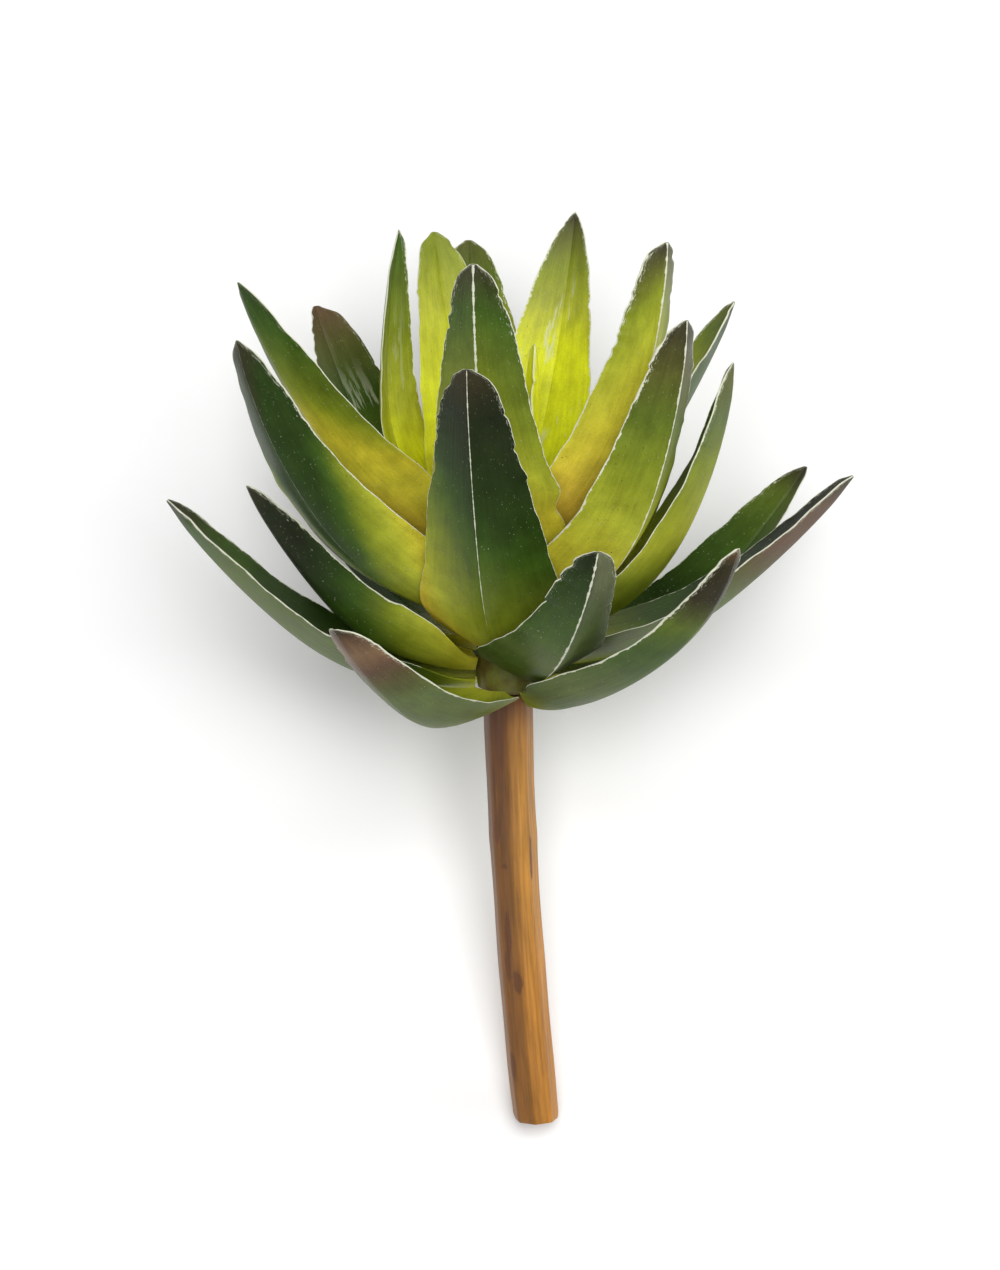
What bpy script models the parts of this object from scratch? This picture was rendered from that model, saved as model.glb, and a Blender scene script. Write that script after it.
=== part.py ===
"""Artificial succulent stem: a rosette of keeled, cupped leaves on a short cut stem, lying down.

Everything is drawn upright first (stem axis along Z, the middle of the lowest leaf row at the
origin) and then laid on the ground on three contacts: the cut end of the stem and two leaf tips.
Lengths are in metres and angles in degrees. The finished piece stands on Z = 0 with the origin
below the middle of its bounding box and the crown of the rosette pointing along +Y.
"""
from math import cos, pi, radians, sin

import bmesh
import bpy
import numpy as np
from mathutils import Matrix
from mathutils.bvhtree import BVHTree

# ---- driving sizes ------------------------------------------------------------------------
LEAF_LENGTH = 0.070         # a lowest-row leaf, measured along its curve
LEAF_WIDTH = 0.025          # its widest point, margin to margin
LEAF_THICKNESS = 0.0026     # its middle, keel to inner face
CORE_RADIUS = 0.006         # hidden core that carries the leaves, at the lowest row
SEAT_STEP = 0.001           # unit of seat height; the heights in the two tables count in it
STEM_RADIUS = 0.0046
STEM_LENGTH = 0.087         # from the lowest leaf row down to the cut end
STEM_BEND = 0.0055          # sideways drift of the cut end
STEM_TAPER = 0.97           # radius at the cut end against radius at the top
GAP = 0.0003                # left between pieces that touch

# ---- leaf rows, from the lowest up --------------------------------------------------------
# height: seat on the core; climb: slope at 0 / 22 / 55 / 100 % of the leaf; length, width and
# thick: shares of the driving sizes; cup: depth of the hollow against the half width
ROWS = {
    "lower": dict(height=0, climb=(-6, 10, 42, 50), length=1.0, width=1.0, full=0, thick=1.0,
                  cup=0.42),
    "shoulder": dict(height=5, climb=(0, 16, 40, 50), length=0.97, width=0.96, full=0, thick=1.0,
                     cup=0.38),
    "middle": dict(height=11, climb=(8, 42, 60, 66), length=1.055, width=1.12, full=0.8, thick=1.0,
                   cup=0.38),
    "upper": dict(height=21, climb=(18, 48, 59, 65), length=1.0, width=1.08, full=0.8, thick=0.96,
                  cup=0.38),
    "inner": dict(height=30, climb=(30, 56, 64, 70), length=0.885, width=0.96, full=0.8, thick=0.92,
                  cup=0.38),
    "crown": dict(height=37, climb=(50, 72, 80, 84), length=0.73, width=0.8, full=0, thick=0.85,
                  cup=0.40),
    "bud": dict(height=42, climb=(66, 80, 86, 88), length=0.315, width=0.32, full=0, thick=0.7,
                cup=0.40),
}
CORE_FOOT, CORE_TOP = -2, 46    # ends of the core, in seat steps

# ---- every leaf: its row, compass angle seen from above, and what sets it apart ------------
# lean tips the whole leaf up, roll turns it about its own length; the rest replaces a row value
LEAVES = {
    "lower_leaf_1": ("lower", 27, dict(roll=12, length=1.03, height=1, blunt=0.4)),
    "lower_leaf_2": ("lower", 108, dict(lean=1, height=-1)),
    "lower_leaf_3": ("lower", 180, dict(climb=(0, 12, 38, 50), length=0.995, lean=1, height=0.5,
                                        blunt=0.8, full=0.2)),
    "lower_leaf_4": ("lower", 237, dict(climb=(-18, -2, 32, 42), length=0.83, lean=3, height=-1,
                                        blunt=0.7, full=0.3)),
    "lower_leaf_5": ("lower", 311, dict(climb=(-3, 14.5, 27, 56.5), length=0.99, roll=1, lean=8.3,
                                        height=-1.3, blunt=0.7, width=0.82, full=-0.7)),
    "shoulder_leaf_1": ("shoulder", 72, dict(lean=-6, height=6)),
    "shoulder_leaf_2": ("shoulder", 140, dict(length=0.89, height=7.5, blunt=0.5)),
    "shoulder_leaf_3": ("shoulder", 190, dict(climb=(0, 18, 48, 58), roll=25.5, length=0.82,
                                              lean=1, blunt=0.5, full=0.4)),
    "shoulder_leaf_4": ("shoulder", 288, dict(roll=-6, length=0.79, width=0.88, height=5, blunt=1,
                                              full=0.4, lean=1.5, climb=(0, 15, 38, 56))),
    "shoulder_leaf_5": ("shoulder", 354, dict(length=0.995, lean=-2, height=6, blunt=0.7)),
    "middle_leaf_1": ("middle", 39.5, dict(length=0.77, width=0.62, height=15, blunt=0.3)),
    "middle_leaf_2": ("middle", 90, dict(length=0.885, width=0.84, lean=-3, height=12.5,
                                         blunt=0.6)),
    "middle_leaf_3": ("middle", 142, dict(length=0.97, lean=-1, height=16.5, blunt=1, full=0.67,
                                          width=1.17, roll=-4, climb=(8, 40.5, 60, 66))),
    "middle_leaf_4": ("middle", 207, dict(length=1.09, lean=-5, height=14.75, blunt=0.2, full=0.2,
                                          roll=22, width=1.2, climb=(8, 32, 58, 79))),
    "middle_leaf_5": ("middle", 261, dict(length=1.04, lean=3, height=8.75, blunt=1, roll=-5,
                                          width=1.12, climb=(8, 42, 60, 70), full=0.5)),
    "middle_leaf_6": ("middle", 319.5, dict(length=1.01, lean=7, height=16.5, blunt=0.8, roll=-3,
                                            width=1.15, climb=(8, 34, 62, 74))),
    "middle_leaf_7": ("middle", 350, dict(climb=(4, 35, 65, 83), length=0.94, lean=-2, height=12,
                                          blunt=0.2, roll=5.5)),
    "upper_leaf_1": ("upper", 12, dict(length=0.9, lean=-2.5, height=22, blunt=0.1)),
    "upper_leaf_2": ("upper", 99.5, dict(length=1.04, lean=2.5, height=20.5, blunt=0.9,
                                         climb=(18, 44, 59, 65))),
    "upper_leaf_3": ("upper", 194.5, dict(length=1.03, lean=-4.5, height=23.5, blunt=0.1, roll=22,
                                          width=1.12, climb=(18, 42, 57, 72))),
    "upper_leaf_4": ("upper", 261, dict(length=1.06, lean=12, height=20, blunt=0.8, roll=-5,
                                        width=1.04)),
    "inner_leaf_1": ("inner", 65, dict(length=0.855, lean=5, height=33)),
    "inner_leaf_2": ("inner", 114, dict(length=0.87, lean=-1, height=29.5, blunt=0.9)),
    "inner_leaf_3": ("inner", 327, dict(length=0.97, lean=4, height=26.5, blunt=1, roll=-13,
                                        width=0.95, climb=(30, 45, 69, 78))),
    "crown_leaf": ("crown", 155, dict(lean=0.5, roll=-6, climb=(30, 43.5, 88, 99), width=0.71,
                                      length=0.95, height=26, blunt=0.2)),
    "bud_leaf_1": ("bud", 20, dict(blunt=0.5)),
    "bud_leaf_2": ("bud", 140, dict(blunt=0.5)),
    "bud_leaf_3": ("bud", 260, dict(blunt=0.5)),
}

# ---- half widths from base to tip: long-pointed, blunt, and what a full base adds ------------
OUTLINE_AT = (0.0, 0.05, 0.11, 0.19, 0.33, 0.52, 0.70, 0.82, 0.91, 0.965, 1.0)
POINTED = (0.24, 0.48, 0.80, 1.00, 0.90, 0.72, 0.54, 0.41, 0.28, 0.15, 0.02)
BLUNT = (0.24, 0.48, 0.80, 1.00, 0.91, 0.76, 0.60, 0.49, 0.38, 0.27, 0.06)
FULL_BASE = (0.06, 0.17, 0.18, 0.03, 0.0, 0.0, 0.0, 0.0, 0.0, 0.0, 0.0)
STATIONS = (0.0, 0.07, 0.17, 0.33, 0.54, 0.75, 0.88, 0.97)  # cage rings; the tip is one more point
# one cage ring: place across the leaf, and 0 on the inner face or 1 on the outer face
RING = ((-1, 0), (0, 0), (1, 0), (0.5, 1), (0, 1), (-0.5, 1))
SHARP = (0, 2, 4)                                       # both margins and the keel

# radius and height shares of the core, from its foot up to its top
CORE_PROFILE = ((0.72, 0), (0.95, 0.02), (1, 0.07), (0.97, 0.28), (0.83, 0.5), (0.68, 0.7),
                (0.5, 0.86), (0.33, 0.94), (0.15, 0.985), (0, 1))

COLOURS = {"lower": (0.10, 0.16, 0.05), "shoulder": (0.12, 0.18, 0.05), "middle": (0.20, 0.26, 0.06),
           "upper": (0.28, 0.32, 0.06), "inner": (0.36, 0.40, 0.06), "crown": (0.45, 0.48, 0.06),
           "bud": (0.50, 0.52, 0.08), "core": (0.42, 0.40, 0.10), "stem": (0.45, 0.27, 0.09)}


def smooth_curve(x, xs, ys):
    """Monotone curve through (xs, ys), so an outline never bulges past its own numbers."""
    xs, ys = np.asarray(xs, float), np.asarray(ys, float)
    slope = np.diff(ys) / np.diff(xs)
    tangent = np.concatenate([slope[:1], np.zeros(len(slope) - 1), slope[-1:]])
    for i in range(1, len(slope)):
        a, b = slope[i - 1], slope[i]
        tangent[i] = 2 * a * b / (a + b) if a * b > 0 else 0
    i = np.clip(np.searchsorted(xs, x) - 1, 0, len(slope) - 1)
    h = xs[i + 1] - xs[i]
    t = (x - xs[i]) / h
    return ((1 + 2 * t) * (1 - t) ** 2 * ys[i] + t * (1 - t) ** 2 * h * tangent[i]
            + t * t * (3 - 2 * t) * ys[i + 1] + t * t * (t - 1) * h * tangent[i + 1])


def core_outline(top):
    """Radii and heights of the core's side when its top stands at the given height."""
    radius, height = np.array(CORE_PROFILE).T
    foot = CORE_FOOT * SEAT_STEP
    return radius * CORE_RADIUS, foot + height * (top - foot)


def leaf_spine(leaf, azimuth, at):
    """Points down the middle of a leaf with its across and inward directions."""
    out = np.array([cos(radians(azimuth)), sin(radians(azimuth)), 0])
    side = np.array([-out[1], out[0], 0])
    up = np.array([0, 0, 1.0])
    fine = np.linspace(0, 1, 61)
    climb = smooth_curve(fine, (0, 0.22, 0.55, 1), leaf["climb"]) + leaf.get("lean", 0) * fine ** 0.5
    heading = np.cos(np.radians(climb))[:, None] * out + np.sin(np.radians(climb))[:, None] * up
    step = (heading[1:] + heading[:-1]) / 2 * leaf["length"] * LEAF_LENGTH / 60
    path = np.vstack([np.zeros(3), np.cumsum(step, axis=0)]) + leaf["height"] * SEAT_STEP * up
    point = np.array([np.interp(at, fine, path[:, k]) for k in range(3)]).T
    along = np.array([np.interp(at, fine, heading[:, k]) for k in range(3)]).T
    along /= np.linalg.norm(along, axis=1)[:, None]
    inward = np.cross(along, side)
    inward *= np.sign(inward @ (up - out))[:, None]
    roll = np.radians(leaf.get("roll", 0) * np.minimum(1, at / 0.35))[:, None]
    across = np.cos(roll) * side + np.sin(roll) * inward
    return out, point, across, np.cos(roll) * inward - np.sin(roll) * side


def leaf_cage(name, lift, core_top):
    """Coarse cage of one leaf: six-point rings from the seat on the core out to the tip."""
    row, azimuth, own = LEAVES[name]
    leaf = {**ROWS[row], **own}
    at = np.array(STATIONS + (1.0,))
    out, point, across, inward = leaf_spine(leaf, azimuth, at)
    blunt = leaf.get("blunt", 0)
    outline = (1 - blunt) * np.array(POINTED) + blunt * np.array(BLUNT)
    outline += leaf["full"] * np.array(FULL_BASE)
    half = LEAF_WIDTH / 2 * leaf["width"] * smooth_curve(at, OUTLINE_AT, outline)
    thick = LEAF_THICKNESS * leaf["thick"] * smooth_curve(at, (0, 0.15, 0.6, 0.9, 1),
                                                          (1.1, 1.2, 0.8, 0.45, 0.12))
    cup = leaf["cup"] * smooth_curve(at, (0, 0.2, 0.6, 1), (0.3, 0.9, 1, 1))
    rings = []
    for s, outer in RING:
        rise = cup * half * (0.8 * abs(s) + 0.2 * s * s) - outer * thick * (1 - abs(s)) ** 0.9
        rings.append(point + (s * half)[:, None] * across + rise[:, None] * inward)
    rings = np.array(rings).transpose(1, 0, 2) + (0, 0, lift)
    body = rings[:-1].reshape(-1, 3)
    # slide the leaf out until its base sits a gap clear of the core, and of the stem below it
    radii, heights = core_outline(core_top)
    radii = np.append([STEM_RADIUS] * 2, radii)
    heights = np.append([-STEM_LENGTH, CORE_FOOT * SEAT_STEP - GAP], heights)
    need = np.interp(body[:, 2], heights, radii, left=-1, right=-1) + GAP
    reach = body @ out
    off = body - np.outer(reach, out)
    off[:, 2] = 0
    free = np.sqrt(np.maximum(need ** 2 - (off ** 2).sum(axis=1), 0))
    slide = max(0.0, (free - reach)[need > GAP].max(initial=-1))
    verts = np.vstack([body, rings[-1].mean(axis=0)]) + slide * out
    n = len(RING)
    faces = [(r * n + k, r * n + (k + 1) % n, (r + 1) * n + (k + 1) % n, (r + 1) * n + k)
             for r in range(len(STATIONS) - 1) for k in range(n)]
    last = (len(STATIONS) - 1) * n
    faces += [(last + k, last + (k + 1) % n, len(body)) for k in range(n)]
    faces.append(tuple(reversed(range(n))))
    creases = [(r * n + k, (r + 1) * n + k) for r in range(len(STATIONS) - 1) for k in SHARP]
    creases += [(last + k, len(body)) for k in SHARP] + [(k, (k + 1) % n) for k in range(n)]
    return verts, faces, creases


def swollen_tree(cage):
    """Search tree of a cage grown by half a gap, so two that just touch are a whole gap apart."""
    rings = cage[0][:-1].reshape(len(STATIONS), len(RING), 3)
    across, inward = rings[:, 2] - rings[:, 0], rings[:, 1] - rings[:, 4]
    across /= np.linalg.norm(across, axis=1)[:, None]
    inward /= np.linalg.norm(inward, axis=1)[:, None]
    growth = [s * across + (-inward if outer else (s == 0) * inward) for s, outer in RING]
    verts = np.vstack([(rings + GAP / 2 * np.stack(growth, axis=1)).reshape(-1, 3), cage[0][-1]])
    return BVHTree.FromPolygons(verts.tolist(), cage[1])


def placed_cages():
    """Every cage, a leaf being raised on the core until it is a gap clear of all the leaves below.

    At the drawn sizes nothing has to rise. The core grows with the highest rise.
    """
    lifts, core_top = {}, 0
    for _ in range(2):
        core_top = CORE_TOP * SEAT_STEP + max(lifts.values(), default=0)
        cages, trees = {}, []
        for name in LEAVES:
            lift = lifts.get(name, 0)
            while True:
                cage = leaf_cage(name, lift, core_top)
                tree = swollen_tree(cage)
                if not any(tree.overlap(other) for other in trees):
                    break
                lift += SEAT_STEP / 4
            lifts[name], cages[name] = lift, cage
            trees.append(tree)
    return cages, core_top


def stem_points(count=9):
    """Centre line of the stem from just under the core to the cut end."""
    top = CORE_FOOT * SEAT_STEP - GAP
    t = np.linspace(0, 1, count)
    return np.column_stack([STEM_BEND * t ** 1.6, 0 * t, top + (-STEM_LENGTH - top) * t])


def lying_pose(clouds):
    """Rotation that rests the upright drawing on its stem end and two back leaves."""
    centre = np.mean([cloud.mean(axis=0) for cloud in clouds], axis=0)
    hull = bmesh.new()
    for corner in np.vstack(clouds):
        hull.verts.new(corner)
    bmesh.ops.convex_hull(hull, input=hull.verts)
    best, best_up = -1, None
    for face in hull.faces:
        feet = np.array([v.co for v in face.verts])
        up = np.cross(feet[1] - feet[0], feet[2] - feet[0])
        up /= np.linalg.norm(up) * np.sign(up @ (centre - feet[0]))
        flat = centre - ((centre - feet[0]) @ up) * up
        sides = [np.cross(q - p, flat - p) @ up for p, q in zip(feet, np.roll(feet, -1, axis=0))]
        steady = min(sides) * max(sides) > 0
        if steady and feet[:, 2].min() < -0.9 * STEM_LENGTH and -up[1] > best:
            best, best_up = -up[1], up
    hull.free()
    forward = np.array([0, 0, 1.0]) - best_up[2] * best_up
    forward /= np.linalg.norm(forward)
    right = np.cross(forward, best_up)
    return Matrix([right, forward, best_up]).to_4x4()


def material(name, colour, roughness):
    mat = bpy.data.materials.new(name + "_material")
    mat.use_nodes = True
    shader = mat.node_tree.nodes["Principled BSDF"]
    shader.inputs["Base Color"].default_value = (*colour, 1)
    shader.inputs["Roughness"].default_value = roughness
    return mat


def add_object(name, data, colour, roughness):
    ob = bpy.data.objects.new(name, data)
    bpy.context.scene.collection.objects.link(ob)
    data.materials.append(material(name, colour, roughness))
    return ob


def add_leaf(name, cage):
    verts, faces, creases = cage
    mesh = bpy.data.meshes.new(name)
    mesh.from_pydata(verts.tolist(), [], faces)
    bm = bmesh.new()
    bm.from_mesh(mesh)
    bmesh.ops.recalc_face_normals(bm, faces=bm.faces)
    bm.verts.ensure_lookup_table()
    layer = bm.edges.layers.float.new("crease_edge")
    for a, b in creases:
        bm.edges.get((bm.verts[a], bm.verts[b]))[layer] = 1.0
    bm.to_mesh(mesh)
    bm.free()
    mesh.polygons.foreach_set("use_smooth", [True] * len(mesh.polygons))
    ob = add_object(name, mesh, COLOURS[LEAVES[name][0]], 0.5)
    round_off = ob.modifiers.new("round_off", "SUBSURF")
    round_off.levels = round_off.render_levels = 1
    return ob


def add_core(top):
    """Turned core: half profile on +X from the top down, swept once round Z."""
    points = [(r, 0, z) for r, z in zip(*core_outline(top))][::-1]
    points.append((0, 0, points[-1][2]))
    mesh = bpy.data.meshes.new("leaf_core")
    mesh.from_pydata(points, [(i, i + 1) for i in range(len(points) - 1)], [])
    ob = add_object("leaf_core", mesh, COLOURS["core"], 0.6)
    turn = ob.modifiers.new("turn", "SCREW")
    turn.angle = 2 * pi
    turn.steps = turn.render_steps = 24
    turn.axis = "Z"
    turn.use_merge_vertices = True
    turn.merge_threshold = 0.00005
    turn.use_normal_calculate = True
    return ob


def add_stem():
    """Round stem along a slightly bent line with two flat cut ends."""
    line = stem_points()
    curve = bpy.data.curves.new("stem", "CURVE")
    curve.dimensions = "3D"
    curve.bevel_depth = STEM_RADIUS
    curve.bevel_resolution = 4
    curve.use_fill_caps = True
    spline = curve.splines.new("POLY")
    spline.points.add(len(line) - 1)
    for i, (point, xyz) in enumerate(zip(spline.points, line)):
        point.co = (*xyz, 1)
        point.radius = 1 + (STEM_TAPER - 1) * i / (len(line) - 1)
    return add_object("stem", curve, COLOURS["stem"], 0.6)


def shaped_corners(ob):
    """Corners of a piece as it is finally shaped, modifiers included."""
    solid = ob.evaluated_get(bpy.context.evaluated_depsgraph_get())
    corners = np.array([v.co for v in solid.to_mesh().vertices])
    solid.to_mesh_clear()
    return corners


def set_on_ground(objects):
    """Lay every piece down, then put the origin under the middle of the whole on Z = 0."""
    clouds = [shaped_corners(ob) for ob in objects]
    pose = lying_pose(clouds)
    cloud = np.vstack(clouds) @ np.array(pose)[:3, :3].T
    low, high = cloud.min(axis=0), cloud.max(axis=0)
    shift = Matrix.Translation((-(low[0] + high[0]) / 2, -(low[1] + high[1]) / 2, -low[2]))
    for ob in objects:
        ob.matrix_world = shift @ pose


for old in list(bpy.data.objects):
    bpy.data.objects.remove(old, do_unlink=True)

CAGES, TOP = placed_cages()
PIECES = [add_stem(), add_core(TOP)] + [add_leaf(name, cage) for name, cage in CAGES.items()]
set_on_ground(PIECES)
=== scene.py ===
"""Looks of the artificial succulent stem: moulded, airbrushed leaves with flash lines on a tan stalk."""
from math import cos, pi, radians, sin

import bpy
import numpy as np
from mathutils import Matrix, Vector


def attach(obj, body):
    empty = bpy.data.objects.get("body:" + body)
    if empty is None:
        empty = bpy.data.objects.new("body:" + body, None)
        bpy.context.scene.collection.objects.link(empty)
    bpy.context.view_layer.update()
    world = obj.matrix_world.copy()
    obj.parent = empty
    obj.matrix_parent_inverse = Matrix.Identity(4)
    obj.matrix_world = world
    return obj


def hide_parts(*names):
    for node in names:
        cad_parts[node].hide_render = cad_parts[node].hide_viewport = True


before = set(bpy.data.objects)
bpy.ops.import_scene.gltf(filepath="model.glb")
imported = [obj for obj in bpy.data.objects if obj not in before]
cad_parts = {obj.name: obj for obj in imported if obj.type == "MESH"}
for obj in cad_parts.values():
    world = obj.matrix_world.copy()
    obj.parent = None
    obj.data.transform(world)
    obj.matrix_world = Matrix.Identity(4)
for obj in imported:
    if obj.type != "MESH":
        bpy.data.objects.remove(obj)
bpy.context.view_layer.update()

MM = 0.001

# ---- the upright drawing and how it lies, as in the part's source ---------------------------
LEAF_LENGTH, LEAF_WIDTH, LEAF_THICKNESS = 70.0, 25.0, 2.6       # mm, like all sizes up to LIE
CORE_RADIUS, CORE_FOOT, CORE_TOP, GAP = 6.0, -2.0, 46.0, 0.3
STEM_RADIUS, STEM_LENGTH, STEM_BEND, STEM_TAPER = 4.6, 87.0, 5.5, 0.97
# where the part's source lays it down: its numbers were read off the built part, not worked out here
LIE = (Matrix.Translation((-0.000047, -0.004652, 0.04037))
       @ Matrix.Rotation(radians(-65.315), 4, "X") @ Matrix.Rotation(radians(-0.183), 4, "Z"))

ROWS = {
    "lower": dict(height=0, climb=(-6, 10, 42, 50), length=1.0, width=1.0, full=0, thick=1.0,
                  cup=0.42),
    "shoulder": dict(height=5, climb=(0, 16, 40, 50), length=0.97, width=0.96, full=0, thick=1.0,
                     cup=0.38),
    "middle": dict(height=11, climb=(8, 42, 60, 66), length=1.055, width=1.12, full=0.8, thick=1.0,
                   cup=0.38),
    "upper": dict(height=21, climb=(18, 48, 59, 65), length=1.0, width=1.08, full=0.8, thick=0.96,
                  cup=0.38),
    "inner": dict(height=30, climb=(30, 56, 64, 70), length=0.885, width=0.96, full=0.8, thick=0.92,
                  cup=0.38),
    "crown": dict(height=37, climb=(50, 72, 80, 84), length=0.73, width=0.8, full=0, thick=0.85,
                  cup=0.40),
    "bud": dict(height=42, climb=(66, 80, 86, 88), length=0.315, width=0.32, full=0, thick=0.7,
                cup=0.40),
}
# row, compass angle and what differs from the row; many values are rounded results of scratch fits
LEAVES = {
    "lower_leaf_1": ("lower", 27, dict(roll=12, length=1.03, height=1, blunt=0.4)),
    "lower_leaf_2": ("lower", 108, dict(lean=1, height=-1)),
    "lower_leaf_3": ("lower", 180, dict(climb=(0, 12, 38, 50), length=0.995, lean=1, height=0.5,
                                        blunt=0.8, full=0.2)),
    "lower_leaf_4": ("lower", 237, dict(climb=(-18, -2, 32, 42), length=0.83, lean=3, height=-1,
                                        blunt=0.7, full=0.3)),
    "lower_leaf_5": ("lower", 311, dict(climb=(-3, 14.5, 27, 56.5), length=0.99, roll=1, lean=8.3,
                                        height=-1.3, blunt=0.7, width=0.82, full=-0.7)),
    "shoulder_leaf_1": ("shoulder", 72, dict(lean=-6, height=6)),
    "shoulder_leaf_2": ("shoulder", 140, dict(length=0.89, height=7.5, blunt=0.5)),
    "shoulder_leaf_3": ("shoulder", 190, dict(climb=(0, 18, 48, 58), roll=25.5, length=0.82,
                                              lean=1, blunt=0.5, full=0.4)),
    "shoulder_leaf_4": ("shoulder", 288, dict(roll=-6, length=0.79, width=0.88, height=5, blunt=1,
                                              full=0.4, lean=1.5, climb=(0, 15, 38, 56))),
    "shoulder_leaf_5": ("shoulder", 354, dict(length=0.995, lean=-2, height=6, blunt=0.7)),
    "middle_leaf_1": ("middle", 39.5, dict(length=0.77, width=0.62, height=15, blunt=0.3)),
    "middle_leaf_2": ("middle", 90, dict(length=0.885, width=0.84, lean=-3, height=12.5,
                                         blunt=0.6)),
    "middle_leaf_3": ("middle", 142, dict(length=0.97, lean=-1, height=16.5, blunt=1, full=0.67,
                                          width=1.17, roll=-4, climb=(8, 40.5, 60, 66))),
    "middle_leaf_4": ("middle", 207, dict(length=1.09, lean=-5, height=14.75, blunt=0.2, full=0.2,
                                          roll=22, width=1.2, climb=(8, 32, 58, 79))),
    "middle_leaf_5": ("middle", 261, dict(length=1.04, lean=3, height=8.75, blunt=1, roll=-5,
                                          width=1.12, climb=(8, 42, 60, 70), full=0.5)),
    "middle_leaf_6": ("middle", 319.5, dict(length=1.01, lean=7, height=16.5, blunt=0.8, roll=-3,
                                            width=1.15, climb=(8, 34, 62, 74))),
    "middle_leaf_7": ("middle", 350, dict(climb=(4, 35, 65, 83), length=0.94, lean=-2, height=12,
                                          blunt=0.2, roll=5.5)),
    "upper_leaf_1": ("upper", 12, dict(length=0.9, lean=-2.5, height=22, blunt=0.1)),
    "upper_leaf_2": ("upper", 99.5, dict(length=1.04, lean=2.5, height=20.5, blunt=0.9,
                                         climb=(18, 44, 59, 65))),
    "upper_leaf_3": ("upper", 194.5, dict(length=1.03, lean=-4.5, height=23.5, blunt=0.1, roll=22,
                                          width=1.12, climb=(18, 42, 57, 72))),
    "upper_leaf_4": ("upper", 261, dict(length=1.06, lean=12, height=20, blunt=0.8, roll=-5,
                                        width=1.04)),
    "inner_leaf_1": ("inner", 65, dict(length=0.855, lean=5, height=33)),
    "inner_leaf_2": ("inner", 114, dict(length=0.87, lean=-1, height=29.5, blunt=0.9)),
    "inner_leaf_3": ("inner", 327, dict(length=0.97, lean=4, height=26.5, blunt=1, roll=-13,
                                        width=0.95, climb=(30, 45, 69, 78))),
    "crown_leaf": ("crown", 155, dict(lean=0.5, roll=-6, climb=(30, 43.5, 88, 99), width=0.71,
                                      length=0.95, height=26, blunt=0.2)),
    "bud_leaf_1": ("bud", 20, dict(blunt=0.5)),
    "bud_leaf_2": ("bud", 140, dict(blunt=0.5)),
    "bud_leaf_3": ("bud", 260, dict(blunt=0.5)),
}
OUTLINE_AT = (0.0, 0.05, 0.11, 0.19, 0.33, 0.52, 0.70, 0.82, 0.91, 0.965, 1.0)
POINTED = (0.24, 0.48, 0.80, 1.00, 0.90, 0.72, 0.54, 0.41, 0.28, 0.15, 0.02)
BLUNT = (0.24, 0.48, 0.80, 1.00, 0.91, 0.76, 0.60, 0.49, 0.38, 0.27, 0.06)
FULL_BASE = (0.06, 0.17, 0.18, 0.03, 0.0, 0.0, 0.0, 0.0, 0.0, 0.0, 0.0)
STATIONS = (0.0, 0.07, 0.17, 0.33, 0.54, 0.75, 0.88, 0.97)
THICK_AT, THICK = (0, 0.15, 0.6, 0.9, 1), (1.1, 1.2, 0.8, 0.45, 0.12)
CORE_PROFILE = ((0.72, 0), (0.95, 0.02), (1, 0.07), (0.97, 0.28), (0.83, 0.5), (0.68, 0.7),
                (0.5, 0.86), (0.33, 0.94), (0.15, 0.985), (0, 1))

# ---- paint: colours as they look in daylight, 0 to 255 ---------------------------------------
# the last colour is the grey of a sheen painted on single leaf facets
PAINT = {
    "lime": (196, 200, 26), "gold": (194, 184, 54), "straw": (182, 170, 46), "pear": (154, 158, 44),
    "olive": (112, 122, 28), "moss": (76, 91, 24), "fern": (50, 73, 17), "bottle": (31, 50, 10),
    "night": (22, 29, 10), "sage": (76, 90, 42), "khaki": (70, 72, 26), "umber": (80, 58, 38),
    "bark": (40, 36, 19), "bronze": (108, 84, 60), "amber": (194, 164, 60), "painted_sheen": (104, 108, 76),
}
PAINT_GAIN = 1.3
# the paint met along a leaf, from base to tip, on the outer and on the inner face
ROW_PAINT = {
    "lower": ("pear 0 olive .1 moss .2 fern .35 fern .7 khaki .9 bark 1",
              "pear 0 olive .12 fern .3 bottle .5 fern .8 bark 1"),
    "shoulder": ("gold 0 olive .15 fern .3 bottle .55 fern .8 bark 1",
                 "gold 0 olive .15 fern .32 bottle .5 night .8 bark 1"),
    "middle": ("amber 0 gold .1 straw .22 olive .42 fern .6 bottle .75 fern .88 bark 1",
               "gold 0 pear .3 olive .5 moss .7 fern .88 khaki 1"),
    "upper": ("amber 0 gold .12 straw .3 pear .5 olive .65 moss .8 fern .92 khaki 1",
              "lime 0 lime .35 pear .6 olive .8 moss .9 khaki 1"),
    "inner": ("amber 0 gold .15 straw .4 pear .62 olive .8 moss .92 khaki 1",
              "lime 0 lime .6 pear .72 olive .84 moss 1"),
    "crown": ("lime 0 lime .35 pear .6 olive .8 moss 1", "lime 0 lime .5 pear .75 olive .9 moss 1"),
    "bud": ("lime 0 lime 1", "lime 0 lime 1"),
}
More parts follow.
